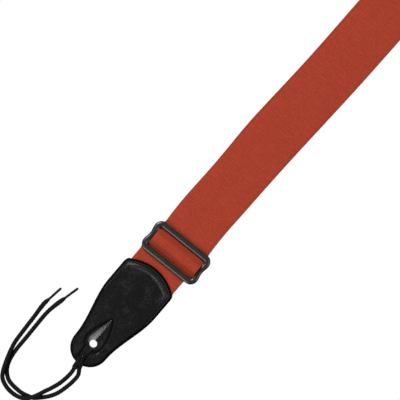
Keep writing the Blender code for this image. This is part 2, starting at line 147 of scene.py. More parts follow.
# The lace's two free ends, from the tab's tip to the aglets, in millimetres: x from the pin hole, y and z
# the frame's own.
LACE_A = in_metres([
    (-27.6, -4.6, 3), (-31.2, -5.6, 2.3), (-37.4, -5.8, 2.2), (-47.9, -4.6, 2.2), (-58, -1.6, 2.2),
    (-63.6, 0.8, 2.8), (-68, 2.6, 5.6), (-72, 4.4, 7), (-76.5, 6.8, 7), (-80.8, 10.4, 5.8),
    (-84.1, 16.2, 2.8), (-85.2, 23, 2.2), (-84.4, 30.5, 2.5), (-80.8, 37.8, 4.6),
    (-75.2, 41.8, 6.6), (-68.6, 44.9, 7), (-62, 47.5, 6.8), (-55, 50, 5), (-47, 52, 2.6),
    (-33.9, 53.3, 2.2), (-19.8, 54.4, 2.2), (-5.2, 55.7, 2.2), (3, 55, 2.2)])
LACE_B = in_metres([
    (-26.6, -9.2, 3), (-30.6, -11.9, 2.3), (-37.7, -12.4, 2.2), (-45.8, -11.6, 2.2),
    (-56.2, -9.4, 2.2), (-64, -5.6, 2.2), (-70.6, -0.4, 2.2), (-75.4, 4.4, 2.2), (-77.6, 9.6, 2.2),
    (-79.4, 16.4, 2.2), (-79.6, 25.8, 2.2), (-78.2, 33.2, 2.2), (-73.3, 39.6, 2.2),
    (-66.5, 43.6, 2.2), (-58.6, 45.6, 2.2), (-49.3, 46.6, 2.2), (-37.8, 47, 2.2),
    (-22.2, 47.8, 2.2), (-9.1, 48.2, 2.2), (0.4, 47.2, 2.2), (13.6, 44.6, 2.2)])


def smooth(t):
    """Smooth step from 0 to 1."""
    t = min(max(t, 0.0), 1.0)
    return t * t * (3 - 2 * t)


def mix(a, b, t):
    return a + (b - a) * t


def bell(distance, width):
    """1 at no distance, falling away smoothly over the width."""
    return math.exp(-(distance / width) ** 2)


def arc(centre, radius, start, end, steps):
    """Points of a circular arc, angles in degrees, both ends included."""
    angles = [math.radians(mix(start, end, i / steps)) for i in range(steps + 1)]
    return [(centre[0] + radius * math.cos(a), centre[1] + radius * math.sin(a)) for a in angles]


def through(points, steps):
    """Points on a smooth curve through the given ones, steps to each span."""
    points = [Vector(p) for p in points]
    knots = [2 * points[0] - points[1], *points, 2 * points[-1] - points[-2]]
    found = []
    for a, b, c, d in zip(knots, knots[1:], knots[2:], knots[3:]):
        for i in range(steps):
            t = i / steps
            found.append(0.5 * (2 * b + (c - a) * t + (2 * a - 5 * b + 4 * c - d) * t * t
                                + (3 * b - a - 3 * c + d) * t ** 3))
    return found + [points[-1]]


def evenly(points, spacing, closed=False):
    """The same line with its points equal steps apart, and each point's distance along it."""
    line = np.array([list(p) for p in points] + ([list(points[0])] if closed else []), float)
    along = np.concatenate([[0], np.cumsum(np.linalg.norm(np.diff(line, axis=0), axis=1))])
    count = max(2, round(along[-1] / spacing))
    stations = np.linspace(0, along[-1], count + 1)
    if closed:
        stations = stations[:-1]
    return [Vector(p) for p in np.stack([np.interp(stations, along, k) for k in line.T], axis=1)], stations


def tangents(points, closed=False):
    """The line's direction at each point."""
    if closed:
        return [(b - a).normalized() for a, b in zip(points[-1:] + points[:-1], points[1:] + points[:1])]
    return [(b - a).normalized() for a, b in zip(points[:1] + points[:-1], points[1:] + points[-1:])]


def distances(places, line, closed=False):
    """Distance from each 2-D place to the nearest part of a line of 2-D points."""
    a = np.array([tuple(p)[:2] for p in line], float)
    b = np.roll(a, -1, axis=0)
    if not closed:
        a, b = a[:-1], b[:-1]
    places = np.asarray(places, float)
    best = np.full(len(places), np.inf)
    for p, q in zip(a, b):
        span = q - p
        share = np.clip((places - p) @ span / max(span @ span, 1e-18), 0, 1)
        best = np.minimum(best, np.linalg.norm(places - p - share[:, None] * span, axis=1))
    return best


# ---------------- materials

def group(name, inputs, outputs):
    """An empty shader node group with named inputs (name, default) and float outputs."""
    tree = bpy.data.node_groups.new(name, "ShaderNodeTree")
    for label, default in inputs:
        kind = "NodeSocketVector" if isinstance(default, tuple) else "NodeSocketFloat"
        tree.interface.new_socket(label, in_out="INPUT", socket_type=kind).default_value = default
    for label in outputs:
        tree.interface.new_socket(label, in_out="OUTPUT", socket_type="NodeSocketFloat")
    return tree, tree.nodes.new("NodeGroupInput"), tree.nodes.new("NodeGroupOutput")


class Wiring:
    """Short ways to add and join nodes in one tree."""

    def __init__(self, tree):
        self.tree = tree

    def node(self, kind, **settings):
        made = self.tree.nodes.new("ShaderNode" + kind)
        for key, value in settings.items():
            setattr(made, key, value)
        return made

    def feed(self, socket, value):
        if isinstance(value, bpy.types.NodeSocket):
            self.tree.links.new(value, socket)
        else:
            socket.default_value = value

    def paint(self, shader, **values):
        """Feeds a node's inputs by name."""
        for label, value in values.items():
            self.feed(shader.inputs[label.replace("_", " ")], value)

    def own_place(self):
        """Where a point is on its own piece."""
        return self.node("TexCoord").outputs["Object"]

    def fill(self, made, *values):
        """Feeds a node's inputs in order, and returns its first output."""
        for socket, value in zip(made.inputs, values):
            self.feed(socket, value)
        return made.outputs[0]

    def maths(self, operation, *values):
        return self.fill(self.node("Math", operation=operation), *values)

    def times(self, one, other):
        return self.maths("MULTIPLY", one, other)

    def ramp(self, value, low, high, to_low=0.0, to_high=1.0):
        made = self.node("MapRange", interpolation_type="SMOOTHSTEP")
        return self.fill(made, value, low, high, to_low, to_high)

    def noise(self, vector, scale, detail=2.0, rough=0.5):
        made = self.node("TexNoise")
        self.paint(made, Vector=vector, Scale=scale, Detail=detail, Roughness=rough)
        return made.outputs["Fac"]

    def cells(self, vector, scale, feature="SMOOTH_F1"):
        made = self.node("TexVoronoi", feature=feature)
        self.paint(made, Vector=vector, Scale=scale)
        return made.outputs["Distance"]

    def vector(self, x, y, z=0.0):
        return self.fill(self.node("CombineXYZ"), x, y, z)

    def split(self, vector):
        made = self.node("SeparateXYZ")
        self.fill(made, vector)
        return made.outputs

    def place(self, tree, **values):
        """A node group's copy with its named inputs fed."""
        made = self.node("Group", node_tree=tree)
        self.paint(made, **values)
        return made.outputs

    def colours(self, share, one, other):
        made = self.node("Mix", data_type="RGBA")
        self.paint(made, Factor=share, A=(*one, 1), B=(*other, 1))
        return made.outputs["Result"]

    def bump(self, height, strength, depth):
        made = self.node("Bump")
        self.paint(made, Strength=strength, Distance=depth, Height=height)
        return made.outputs["Normal"]


def finish(name, colour, roughness, **constants):
    """A material, its wiring and its shader, with the values that are the same all over."""
    made = bpy.data.materials.new(name)
    made.use_nodes = True
    made.diffuse_color = (*colour, 1)
    shader = made.node_tree.nodes["Principled BSDF"]
    w = Wiring(made.node_tree)
    w.paint(shader, Base_Color=(*colour, 1), Roughness=roughness, **constants)
    return made, w, shader


def weave_group():
    """Ribbed webbing: round ribs across the band, each broken into yarns, with uneven picks.

    Lay holds what turns x into distance along the webbing, and the place across it. Shade is painted shade,
    darker in the valleys between the ribs, multiplied by random tone from the picks, specks and blotches."""
    inputs = [("Place", (0, 0, 0)), ("Lay", (0, 0, 0)), ("Pitch", RIB_PITCH), ("Yarn", 0.9 * MM)]
    tree, given, out = group("ribbed weave", inputs, ["Height", "Shade", "Edge"])
    w = Wiring(tree)
    lay = w.split(given.outputs["Lay"])
    along = w.maths("ADD", w.split(given.outputs["Place"])[0], lay[0])
    across = lay[1]
    rib = w.maths("DIVIDE", along, given.outputs["Pitch"])
    crest = w.maths("ABSOLUTE", w.maths("SINE", w.times(rib, math.pi)))
    parity = w.times(w.maths("FLOOR", rib), 0.5)
    yarn = w.maths("ADD", w.maths("DIVIDE", across, given.outputs["Yarn"]), parity)
    strand = w.maths("ABSOLUTE", w.maths("SINE", w.times(yarn, math.pi)))
    height = w.times(w.maths("POWER", crest, 0.7), w.maths("MULTIPLY_ADD", strand, 0.35, 0.65))

    def blotches(lengthwise, crosswise, detail, rough=0.5):
        spot = w.vector(w.times(along, lengthwise), w.times(across, crosswise))
        return w.noise(spot, 1.0, detail, rough)

    picks = blotches(620.0, 75.0, 3.0, 0.65)
    specks = blotches(700.0, 620.0, 2.0, 0.6)
    broad = blotches(26.0, 60.0, 2.0)
    streak = w.ramp(picks, 0.3, 0.7, 0.90, 1.05)
    grain = w.ramp(specks, 0.3, 0.7, 0.88, 1.09)
    cloud = w.ramp(broad, 0.3, 0.7, 0.975, 1.02)
    # painted shade: the colour falls to 0.62 of full in the valleys between the ribs
    valley_shade = w.maths("MULTIPLY_ADD", height, 0.42, 0.62)
    edge = w.ramp(w.maths("ABSOLUTE", across), WEB_WIDTH / 2 - 0.9 * MM, WEB_WIDTH / 2)
    w.paint(out, Height=height, Shade=w.times(w.times(valley_shade, grain), w.times(streak, cloud)), Edge=edge)
    return tree


def hide_group():
    """Leather: small rounded grain cells between fine folds, with soft mottling, and specks for painted
    glints on the grain.
    """
    inputs = [("Place", (0, 0, 0)), ("Cell", 0.95 * MM)]
    tree, given, out = group("hide grain", inputs, ["Height", "Mottle", "Fleck"])
    w = Wiring(tree)
    cell = given.outputs["Cell"]
    scaled = w.node("VectorMath", operation="DIVIDE")
    place = w.fill(scaled, given.outputs["Place"], w.vector(cell, cell, cell))
    grain = w.cells(place, 1.0)
    folds = w.noise(place, 0.45, 4.0, 0.6)
    fine = w.noise(place, 3.2, 3.0, 0.6)
    height = w.maths("MULTIPLY_ADD", folds, 0.5, w.times(fine, 0.25))
    height = w.maths("MULTIPLY_ADD", grain, -0.55, height)
    # specks that the leather paints as lighter colour, standing for glints on the grain
    glint_spots = w.times(w.noise(place, 0.6, 2.0, 0.6), w.noise(place, 0.11, 2.0, 0.5))
    mottle = w.ramp(w.noise(place, 0.16, 4.0, 0.65), 0.3, 0.7)
    w.paint(out, Height=height, Mottle=mottle, Fleck=w.ramp(glint_spots, 0.24, 0.44))
    return tree


def webbing_finish(weave):
    made, w, shader = finish("brick red webbing", (0.33, 0.04, 0.019), 0.85, Specular_IOR_Level=0.1)
    lay = w.node("Attribute", attribute_name="lay")
    place = w.own_place()
    threads = w.place(weave, Place=place, Lay=lay.outputs["Vector"])
    edge = w.times(threads["Edge"], 0.45)
    red = w.colours(edge, (0.316, 0.0381, 0.0175), (0.15, 0.0155, 0.013))
    # the red times the weave's Shade: painted shade in the rib valleys, and random tone
    shade = w.node("Mix", data_type="RGBA", blend_type="MULTIPLY")
    w.paint(shade, Factor=1, A=red, B=w.vector(threads["Shade"], threads["Shade"], threads["Shade"]))
    w.paint(shader, Base_Color=shade.outputs["Result"])
    w.paint(shader, Roughness=w.ramp(threads["Height"], 0.0, 1.0, 0.92, 0.74))
    w.paint(shader, Normal=w.bump(threads["Height"], 0.55, 0.22 * MM))
    return made


def leather_finish(hide):
    made, w, shader = finish("black grained leather", (0.004, 0.004, 0.0039), 0.6, Specular_IOR_Level=0.03,
                             Coat_Roughness=0.38)
    grain = w.place(hide, Place=w.own_place())
    pressed = w.node("Attribute", attribute_name="pressed").outputs["Fac"]
    # painted highlights: lighter specks in the base colour stand for glints on the grain; they are left off
    # where the leather is pressed and made stronger on the welt
    painted_glints = w.times(grain["Fleck"], w.maths("SUBTRACT", 1.0, pressed))
    w.paint(shader, Base_Color=w.colours(painted_glints, (0.0014, 0.0014, 0.0014), (0.0105, 0.0103, 0.0101)))
    w.paint(shader, Roughness=w.ramp(grain["Mottle"], 0.0, 1.0, 0.55, 0.7))
    w.paint(shader, Coat_Weight=w.ramp(pressed, -1.0, 1.0, 0.74, 0.0))
    dents = w.bump(grain["Height"], 0.8, 0.3 * MM)
    w.paint(shader, Normal=dents)
    w.paint(shader, Coat_Normal=dents)
    return made


def suede_finish(hide):
    made, w, shader = finish("grey suede side", (0.16, 0.158, 0.155), 0.95, Sheen_Weight=0.2,
                             Specular_IOR_Level=0.15)
    nap = w.place(hide, Place=w.own_place(), Cell=0.35 * MM)
    w.paint(shader, Base_Color=w.colours(nap["Mottle"], (0.11, 0.108, 0.106), (0.21, 0.208, 0.205)))
    w.paint(shader, Roughness=w.ramp(nap["Height"], 0.0, 0.6, 0.98, 0.88))
    w.paint(shader, Normal=w.bump(nap["Height"], 0.5, 0.2 * MM))
    return made


def plastic_finish():
    made, w, shader = finish("black gloss plastic", (0.014, 0.0135, 0.014), 0.3, Specular_IOR_Level=0.5)
    place = w.own_place()
    ripple = w.noise(place, 900.0, 3.0, 0.6)
    scuff = w.noise(place, 160.0, 4.0, 0.7)
    w.paint(shader, Base_Color=w.colours(scuff, (0.011, 0.0105, 0.011), (0.018, 0.0175, 0.018)))
    w.paint(shader, Roughness=w.ramp(scuff, 0.3, 0.75, 0.26, 0.36))
    w.paint(shader, Normal=w.bump(ripple, 0.12, 0.05 * MM))
    return made


def yarn_finish(name, colour, roughness, twist):
    """Thread or lace yarn: fine filaments over the modelled strands."""
    made, w, shader = finish(name, colour, roughness, Specular_IOR_Level=0.14)
    place = w.own_place()
    fuzz = w.noise(place, twist, 3.0, 0.6)
    dark = tuple(c * 0.7 for c in colour)
    light = tuple(c * 1.5 for c in colour)
    w.paint(shader, Base_Color=w.colours(fuzz, dark, light))
    w.paint(shader, Roughness=w.ramp(fuzz, 0.3, 0.7, roughness - 0.1, roughness + 0.1))
    w.paint(shader, Normal=w.bump(fuzz, 0.4, 0.1 * MM))
    return made


# ---------------- meshes

def skin(rows, around, place, closed=False):
    """A grid wrapped round so that place(row, step) gives each point and its lay; open ends are filled."""
    bm = bmesh.new()
    bmesh.ops.create_grid(bm, x_segments=rows, y_segments=around, size=1)
    lay = bm.verts.layers.float_vector.new("lay")
    for v in bm.verts:
        row = round((v.co.x + 1) / 2 * rows)
        step = round((v.co.y + 1) / 2 * around) % around
        v.co, v[lay] = place(row % rows if closed else row, step)
    bmesh.ops.remove_doubles(bm, verts=bm.verts, dist=1e-7)
    if not closed:
        bmesh.ops.holes_fill(bm, edges=[e for e in bm.edges if e.is_boundary])
    bmesh.ops.recalc_face_normals(bm, faces=bm.faces)
    return bm


def tube(points, section, sides, closed=False, side_of=None):
    """A tube along points: section(row, angle) gives how far to the side and how far up each point is.

    side_of(direction) gives the sideways direction, where one level and square to the line won't do."""
    points = [Vector(p) for p in points]
    frames = []
    for ahead in tangents(points, closed):
        side = side_of(ahead) if side_of else ahead.cross(Vector((0, 0, 1))).normalized()
        frames.append((side, side.cross(ahead).normalized()))

    def place(row, step):
        across, rise = section(row, math.tau * step / sides)
        side, top = frames[row]
        return points[row] + side * across + top * rise, Vector()

    return skin(len(points) - (0 if closed else 1), sides, place, closed)


def round_section(radius, relief=None):
    """A circle's section for tube(), radius a number or a function of the row, with relief on it."""
    def section(row, angle):
        r = (radius(row) if callable(radius) else radius) + (relief(row, angle) if relief else 0.0)
        return r * math.cos(angle), r * math.sin(angle)
    return section


def flat_section(wide, thick, relief=None, fullness=1.0):
    """An oval's section for tube(), half as wide as wide(row) or wide; under 1, fullness squares it off."""
    def section(row, angle):
        c, s = math.cos(angle), math.sin(angle)
        swell = relief(row, angle) if relief else 0.0
        half = wide(row) if callable(wide) else wide
        across = math.copysign(abs(c) ** fullness, c) * (half + swell)
        return across, math.copysign(abs(s) ** fullness, s) * (thick + swell)
    return section


def joined(*parts):
    """One bmesh from several."""
    bm = parts[0]
    for other in parts[1:]:
        spare = bpy.data.meshes.new("spare")
        other.to_mesh(spare)
        other.free()
        bm.from_mesh(spare)
        bpy.data.meshes.remove(spare)
    return bm


def placed(name, data):
    """An object for a mesh, a light or a camera, put in the scene."""
    obj = bpy.data.objects.new(name, data)
    bpy.context.scene.collection.objects.link(obj)
    return obj


def cut(bm, *cutters, operation="DIFFERENCE"):
    """The bmesh with solids cut out of it or joined to it."""
    made = []
    for part in (bm, *cutters):
        mesh = bpy.data.meshes.new("solid")
        part.to_mesh(mesh)
        part.free()
        made.append(placed("solid", mesh))
    for cutter in made[1:]:
        modifier = made[0].modifiers.new("cut", "BOOLEAN")
        modifier.operation = operation
        modifier.object = cutter
    seen = made[0].evaluated_get(bpy.context.evaluated_depsgraph_get())
    result = bmesh.new()
    result.from_mesh(seen.to_mesh())
    for piece in made:
        spare = piece.data
        bpy.data.objects.remove(piece)
        bpy.data.meshes.remove(spare)
    return result


def copied_points(bm, faces):
    """Extrudes faces where they are, and returns the new points."""
    made = bmesh.ops.extrude_face_region(bm, geom=faces)["geom"]
    return [v for v in made if isinstance(v, bmesh.types.BMVert)]


def extruded(points, reach):
    """A solid from a flat outline's points, drawn out by reach."""
    bm = bmesh.new()
    face = bm.faces.new([bm.verts.new(p) for p in points])
    bmesh.ops.translate(bm, vec=reach, verts=copied_points(bm, [face]))
    bmesh.ops.recalc_face_normals(bm, faces=bm.faces)
    return bm


def prism(outline, z0, z1):
    """A flat outline raised from z0 to z1."""
    return extruded([(x, y, z0) for x, y in outline], (0, 0, z1 - z0))


def turned(bm, place, angle):
    """The bmesh turned about Z and moved to a place on the plan."""
    moved = Matrix.Translation((place[0], place[1], 0)) @ Matrix.Rotation(angle, 4, "Z")
    bmesh.ops.transform(bm, matrix=moved, verts=bm.verts)
    return bm


def piece(name, bm, finishes, body, replaced, slot, sharp=42):
    """The finished object, riding on its body and standing for the CAD nodes that it replaces."""
    mesh = bpy.data.meshes.new(name)
    bm.to_mesh(mesh)
    bm.free()
    for made in finishes:
        mesh.materials.append(made)
    mesh.shade_smooth()
    mesh.set_sharp_from_angle(angle=math.radians(sharp))
    obj = placed(name, mesh)
    if body:
        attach(obj, body)
    if replaced:
        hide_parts(*replaced)
    return obj


# ---------------- webbing

TAB_END = LACE_PIN.x + TAB_APEX
SPLIT_X = SLIDER_X + SLIDER_LENGTH / 2 - SLIDER_BAR / 2     # two stretches part under the slider's last bar
FLAP_END = SLIDER_X + WINDOW_HALF + FLAP_LENGTH
RUN_START = FLAP_END + 28 * MM                              # from here to RUN_END both runs lie flat
RUN_END = RING_X1 - 62 * MM
UNDER_BAR = SLIDER_Z0 - GAP - WEB_THICK / 2
FLOOR_RUN = WEB_THICK / 2
TOP_RUN = FLOOR_RUN + LAYER
HUMP = TOP_RUN + LAYER + 0.9 * MM


def lay(x):
    """How the webbing lies at x: its centre's y and the turn of its cross lines."""
    from_tab = WEB_SIDE + (x - TAB_END) * math.tan(TAB_TURN)
    in_slider = SLIDER_SIDE + (x - SLIDER_X) * math.tan(SLIDER_TURN)
    leaving = SLIDER_X + WINDOW_HALF
    if x > leaving:
        left = max(0.0, 1 - (x - leaving) / (44 * MM)) ** 2
        return (SLIDER_SIDE + WINDOW_HALF * math.tan(SLIDER_TURN)) * left, SLIDER_TURN * left
    share = smooth((x - SLIDER_X + SLIDER_LENGTH / 2) / SLIDER_BAR)
    turn = mix(TAB_TURN, SLIDER_TURN, smooth((x - TAB_END + 3 * MM) / (7.4 * MM)))
    return mix(from_tab, in_slider, share), turn


def top_lay(x):
    """The upper run wanders a little from side to side."""
    y, turn = lay(x)
    free = smooth((x - FLAP_END) / (60 * MM)) * smooth((RUN_END + 50 * MM - x) / (60 * MM))
    return y + free * 0.45 * MM * math.sin(x / (34 * MM) + 0.9), turn


def under_lay(x):
    """The lower run lies a little to one side, so that its edge shows beyond the upper one."""
    y, turn = lay(x)
    free = smooth((x - FLAP_END - 35 * MM) / (75 * MM)) * smooth((RUN_END + 50 * MM - x) / (60 * MM))
    return y + free * 1.7 * MM * (1 + 0.3 * math.sin(x / (27 * MM) + 2.0)), turn


def straight(x):
    return 0.0, 0.0


def web_section():
    """The band's outline: flat faces, and round edges a little thicker than the middle."""
    half, edge, thick = WEB_WIDTH / 2, 0.62 * MM, WEB_THICK / 2
    flat = 14
    inner = half - edge
    face = [(mix(-inner, inner, i / flat), thick * (0.93 + 0.07 * (abs(2 * i / flat - 1) > 0.9)))
            for i in range(flat + 1)]
    angles = [math.pi * k / 6 for k in range(1, 6)]
    turn = [(inner + edge * math.sin(a), thick * math.cos(a)) for a in angles]
    return face + turn + [(x, -z) for x, z in reversed(face)] + [(-x, -z) for x, z in turn]


SECTION = web_section()


def band(path, lie=lay):
    """A length of webbing along a path of (x, z) points. Returns its mesh and its length."""
    line, stations = evenly([(x, 0, z) for x, z in path], ROW)
    ahead = tangents(line)
    laid = [lie(p.x) for p in line]

    def place(row, step):
        side, rise = SECTION[step]
        x, z = line[row].x, line[row].z
        y, turn = laid[row]
        near = abs(x - SLIDER_X)        # spread a little in the slider, most in its windows
        spread = mix(0.018, 0.046, smooth((near - 7 * MM) / (1.6 * MM)))
        wide = 1 + smooth((17.5 * MM - near) / (4 * MM)) * spread
        side *= wide
        tangent = ahead[row]
        spot = Vector((x - side * math.sin(turn) - rise * tangent.z, y + side * math.cos(turn),
                       z + rise * tangent.x))
        forward = stations[row] if line[-1].x >= line[0].x else stations[-1] - stations[row]
        return spot, Vector((forward - spot.x, side / wide, 0))

    return skin(len(line) - 1, len(SECTION), place), stations[-1]


def ease(a, b, steps=10):
    """(x, z) points of a smooth step from a to b, without its last point."""
    return [(mix(a[0], b[0], i / steps), mix(a[1], b[1], smooth(i / steps))) for i in range(steps)]


def over_bar(drop):
    """The path up onto the centre bar, from the slider's centre, with drop for a layer below."""
    high = SLIDER_MID + CENTRE_BAR[1] / 2 + 2 * GAP + 1.5 * WEB_THICK
    flat = CENTRE_BAR[0] / 2 + 0.5 * MM
    foot = WINDOW_HALF + 0.4 * MM
    line = [(mix(foot, flat, i / 20), mix(UNDER_BAR, high, smooth(i / 20))) for i in range(21)]
    shifted = []
    for before, here, after in zip(line[:1] + line, line, line[1:] + line[-1:]):
        along = Vector((after[0] - before[0], after[1] - before[1])).normalized()
        shifted.append((here[0] - drop * along.y, here[1] + drop * along.x))
    return shifted


def tab_run_path():
    """From inside the lace tab, under the first bar, over the centre bar and under the last."""
    inside = LEATHER_THICK + GAP + WEB_THICK / 2
    climb = over_bar(0.0)
    first_bar = SLIDER_X - SLIDER_LENGTH / 2 + 1 * MM
    path = [(TAB_END - 45 * MM, inside), (TAB_END - 6 * MM, inside)]
    path += ease((TAB_END, inside), (first_bar, UNDER_BAR)) + [(first_bar, UNDER_BAR)]
    path += [(SLIDER_X - x, z) for x, z in climb]
    path += [(SLIDER_X + x, z) for x, z in reversed(climb)]
    return path + [(SPLIT_X - GAP / 2, UNDER_BAR)]


def exit_path():
    """From under the slider's last bar, over the sewn flap, down onto the lower run."""
    exit_bar = SLIDER_X + SLIDER_LENGTH / 2
    path = [(SPLIT_X + GAP / 2, UNDER_BAR)]
    path += ease((exit_bar - 1.5 * MM, UNDER_BAR), (exit_bar + 3 * MM, HUMP))
    path += ease((FLAP_END + 4 * MM, HUMP), (FLAP_END + 26 * MM, TOP_RUN), 16)
    return path + [(FLAP_END + 26 * MM, TOP_RUN), (RUN_START, TOP_RUN)]


def wrap_path():
    """From the lower run up into the slider, round its centre bar, and back as the sewn flap."""
    radius = CENTRE_BAR[1] / 2 + GAP + WEB_THICK / 2
    under = (SLIDER_X + CENTRE_BAR[0] / 2, SLIDER_MID - radius)
    path = [(RUN_START, FLOOR_RUN)]
    path += ease((SLIDER_X + WINDOW_HALF + 0.4 * MM, FLOOR_RUN), under, 12) + [under]
    wrap = arc((SLIDER_X - (CENTRE_BAR[0] - CENTRE_BAR[1]) / 2, SLIDER_MID), radius, -90, -270, 16)
    path += wrap + [(SLIDER_X + x, z) for x, z in reversed(over_bar(LAYER))]
    return path + [(FLAP_END, TOP_RUN)]


def fold(x, outwards, steps=18):
    """Half a turn round a ring bar, from its top to its bottom."""
    return [(x + outwards * a, RING_Z + b) for a, b in arc((0, 0), FOLD_RADIUS, 90, -90, steps)]


def ring_fold_path():
    path = [(RUN_END, TOP_RUN), (RING_X1 - 56 * MM, TOP_RUN)]
    path += ease((RING_X1 - 34 * MM, TOP_RUN), (RING_X1, RING_Z + FOLD_RADIUS), 16)
    return path + fold(RING_X1, 1) + [(RUN_END, FLOOR_RUN)]


def ring_webbing_path():
    """From inside the far tab, round the ring's second bar and back into the tab above itself."""
    low = LEATHER_THICK + GAP + WEB_THICK / 2
    apex = RING_PIN.x - TAB_APEX
    inside = apex + 45 * MM
    upper = ease((RING_X2, RING_Z + FOLD_RADIUS), (apex - 1 * MM, low + LAYER))
    lower = ease((RING_X2, RING_Z - FOLD_RADIUS), (apex - 1 * MM, low))
    path = [(inside, low + LAYER), (apex - 1 * MM, low + LAYER)] + upper[:0:-1]
    return path + fold(RING_X2, -1) + lower[1:] + [(apex - 1 * MM, low), (inside, low)]


def make_webbing(red):
    def length(name, path, body, nodes, lie=lay):
        bm, long = band(path, lie)
        made = piece(name, bm, [red], body, nodes, "red_webbing", sharp=50)
        return made

    run = length("tab_run_webbing", tab_run_path(), None, ["webbing_tab_run"])
    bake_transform(run)
    length("slider_exit_webbing", exit_path(), "slider", ["webbing_long_loop"], top_lay)
    length("slider_wrap_webbing", wrap_path(), "slider", ["webbing_long_loop"], under_lay)
    runs = (("top_run_webbing", TOP_RUN, top_lay), ("return_run_webbing", FLOOR_RUN, under_lay))
    for name, height, lie in runs:
        path = [(RUN_START, height), (RUN_END, height)]
        made = length(name, path, "loop", ["webbing_long_loop"], lie)
        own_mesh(made)
    length("ring_fold_webbing", ring_fold_path(), "loop", ["webbing_long_loop"], lay)
    length("ring_webbing_folded", ring_webbing_path(), "ring_tab", ["ring_webbing"], straight)


# ---------------- leather tabs

def half_width(u):
    """Half the tab's width, from the round tip's side to full width."""
    return mix(TIP_RADIUS, FULL_HALF, smooth((u - TIP_CENTRE) / (FLARE_END - TIP_CENTRE)))


def crown_at(v, inset=0.0):
    """Where the crowned end is at v, with its rounded corner."""
    v = abs(v)
    flat = FULL_HALF - CORNER
    radius = CROWN_RADIUS - inset
    centre = TAB_APEX - CROWN_RADIUS
    if v <= flat:
        return centre + math.sqrt(radius ** 2 - v ** 2)
    corner = centre + math.sqrt(radius ** 2 - flat ** 2)
    share = min(1.0, (v - flat) / (CORNER - inset * 0.999))
    return corner - 6.2 * MM * (1 - math.sqrt(max(0.0, 1 - share ** 2)))


def tab_outline(inset=0.0, start=None):
    """Closed outline of a tab from its tip, or, with start, from a straight line across there."""
    if start is None:
        upper = arc((TIP_CENTRE, 0), TIP_RADIUS - inset, 180, 90, 16)
        first = TIP_CENTRE
    else:
        upper = []
        first = start
    last = SHOULDER - CORNER - inset
    upper += [(u, half_width(u) - inset) for u in [mix(first, last, i / 24) for i in range(25)]]
    edge = FULL_HALF - inset
    crown = [edge * math.cos(math.pi / 2 * i / 30) for i in range(1, 31)]
    upper += [(crown_at(v, inset), v) for v in crown]
    return upper + [(u, -v) for u, v in reversed(upper[:-1]) if v > 1e-6]


def slit_outline():
    """The front layer's pin hole and open slit as one outline: the hole's arc, closing to a point."""
    hole = arc((0, 0), PIN_RADIUS, 118, 372, 20)
    far = 28.4 * MM
    lower = [(mix(PIN_RADIUS, far, t), mix(0.4, 1.1, t) * MM) for t in (0.25, 0.5, 0.75, 1.0)]
    upper = [(far - 1 * MM, 1.6 * MM), (20 * MM, 3.5 * MM), (14 * MM, 4.9 * MM), (8 * MM, 6.3 * MM),
             (4 * MM, 7.0 * MM), (1 * MM, 6.9 * MM), (-1.4 * MM, 5.6 * MM)]
    return hole + lower + upper


def tie_outline():
    """The hole the doubled lace goes through, pulled into an oval by it."""
    turn = Matrix.Rotation(HITCH_TURN, 2)
    section = flat_section(1.1 * MM, 2.8 * MM, fullness=0.75)
    oval = [turn @ (Vector(section(0, math.tau * k / 28)) - Vector((0.1 * MM, 0))) for k in range(28)]
    return [(TIE_U + p.x, p.y) for p in oval]


def leaf():
    """The crease that runs round the slit like a leaf, where the leather bends for the pin's head."""
    lower = through([(29, 0.5), (22, -3.6), (12, -7.2), (3, -8.6), (-4, -7.4), (-7, -3.4)], 6)
    upper = through([(-6.5, 3.4), (-3, 8.0), (4, 9.4), (14, 7.4), (22, 4.4), (29, 1.6)], 6)
    return [p * MM for p in lower], [p * MM for p in upper]


def tab_grid():
    """The tab's plan as a grid of rows along it and columns across, closer together at the rim."""
    degrees = (6, 13, 19, 25, 31, 37, 43, 50, 57, 64, 71, 78, 85)
    tip = [TIP_CENTRE - TIP_RADIUS * math.cos(math.radians(a)) for a in degrees]
    body = [mix(TIP_CENTRE, TAB_APEX - 5 * MM, i / 145) for i in range(1, 146)]
    shares = (0.12, 0.24, 0.36, 0.48, 0.6, 0.7, 0.79, 0.87, 0.93, 0.97, 1.0)
    end = [TAB_APEX - 5 * MM * (1 - t) for t in shares]
    rows = tip + body + end
    count = 84
    evens = [2 * j / count - 1 for j in range(count + 1)]
    columns = [mix(t, math.sin(math.pi / 2 * t), 0.55) for t in evens]
    return rows, columns


def tab_sheet():
    """A flat sheet in the tab's outline, as a fine grid."""
    rows, columns = tab_grid()
    bm = bmesh.new()
    bmesh.ops.create_grid(bm, x_segments=len(rows) - 1, y_segments=len(columns) - 1, size=1)
    bend = 40 * MM
    for v in bm.verts:
        u = rows[round((v.co.x + 1) / 2 * (len(rows) - 1))]
        b = columns[round((v.co.y + 1) / 2 * (len(columns) - 1))]
        if u > bend:
            u = mix(bend, crown_at(b * FULL_HALF), (u - bend) / (TAB_APEX - bend))
        if u > TIP_CENTRE:
            half = half_width(u)
        else:
            half = math.sqrt(max(0, TIP_RADIUS ** 2 - (u - TIP_CENTRE) ** 2))
        v.co = (u, b * half, 0)
    return bm


